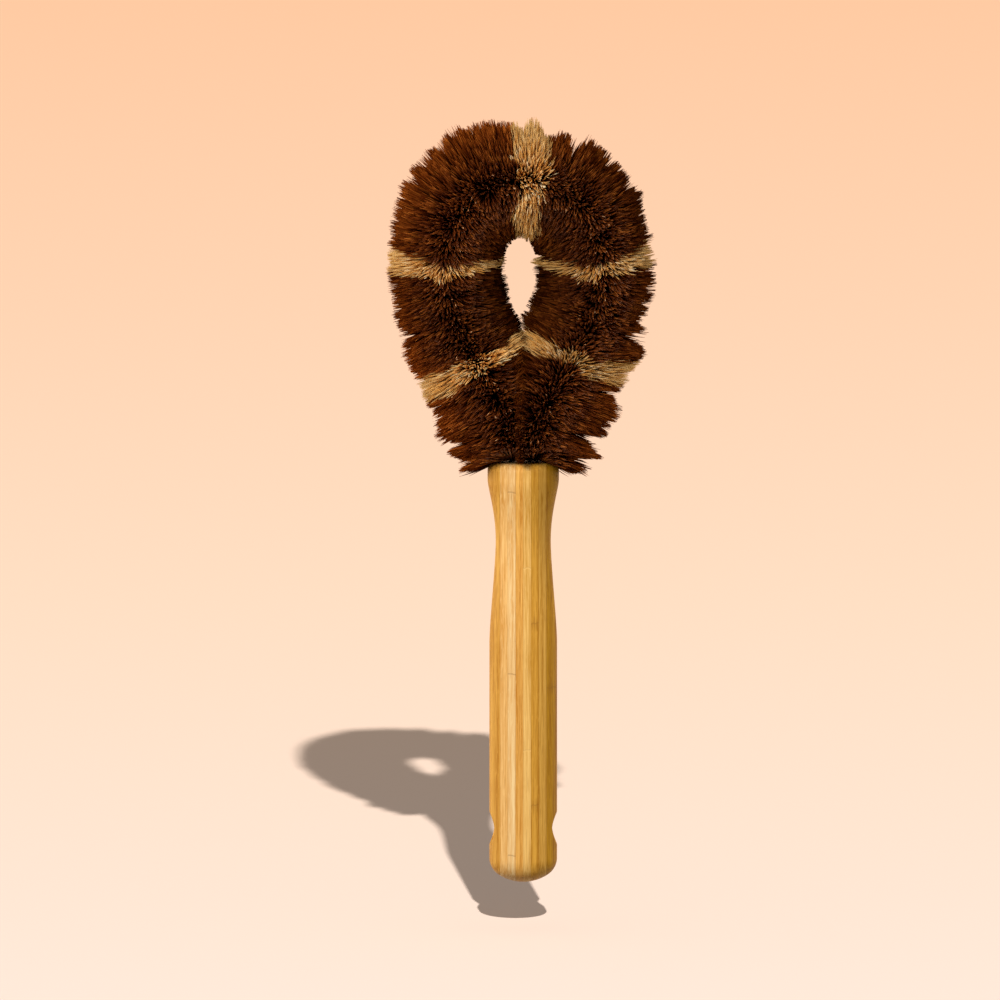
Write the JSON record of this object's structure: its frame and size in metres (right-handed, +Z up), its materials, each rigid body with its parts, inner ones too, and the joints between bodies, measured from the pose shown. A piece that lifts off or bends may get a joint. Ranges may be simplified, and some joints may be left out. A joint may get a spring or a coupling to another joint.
{
  "type": "dish brush",
  "caption": "Loop-headed dish brush: plant fibres clamped in a twisted wire bent into a teardrop, glued into a turned laminated bamboo handle with a cross-drilled hanging hole.",
  "frame": {"origin": "centre of the hanging hole, on the handle's axis", "axes": "+X along the hanging hole, +Y to the back of the flat loop, +Z up the handle to the brush head"},
  "size_m": [0.0948, 0.0406, 0.2708],
  "materials": {
    "bamboo_amber": "satin varnish",
    "bamboo_peach": "satin varnish",
    "bamboo_orange": "satin varnish",
    "bamboo_straw": "satin varnish",
    "bamboo_brown": "satin varnish",
    "glue": "set adhesive",
    "steel": "drawn galvanised wire",
    "coir": "raw brown coconut fibre",
    "sisal": "raw pale sisal fibre"
  },
  "bodies": {
    "root": {"handle_slat_1": "bamboo_amber", "handle_slat_2": "bamboo_peach", "handle_slat_3": "bamboo_peach", "handle_slat_4": "bamboo_orange", "handle_slat_5": "bamboo_straw", "handle_slat_6": "bamboo_amber", "handle_slat_7": "bamboo_straw", "handle_slat_8": "bamboo_brown", "socket_glue": "glue", "wire_strand_a": "steel", "wire_strand_b": "steel", "coir_left_neck": "coir", "sisal_left_lower": "sisal", "coir_left_side": "coir", "sisal_left_upper": "sisal", "coir_left_crown": "coir", "sisal_crown": "sisal", "coir_right_crown": "coir", "sisal_right_upper": "sisal", "coir_right_side": "coir", "sisal_right_lower": "sisal", "coir_right_neck": "coir"}
  },
  "joints": []
}
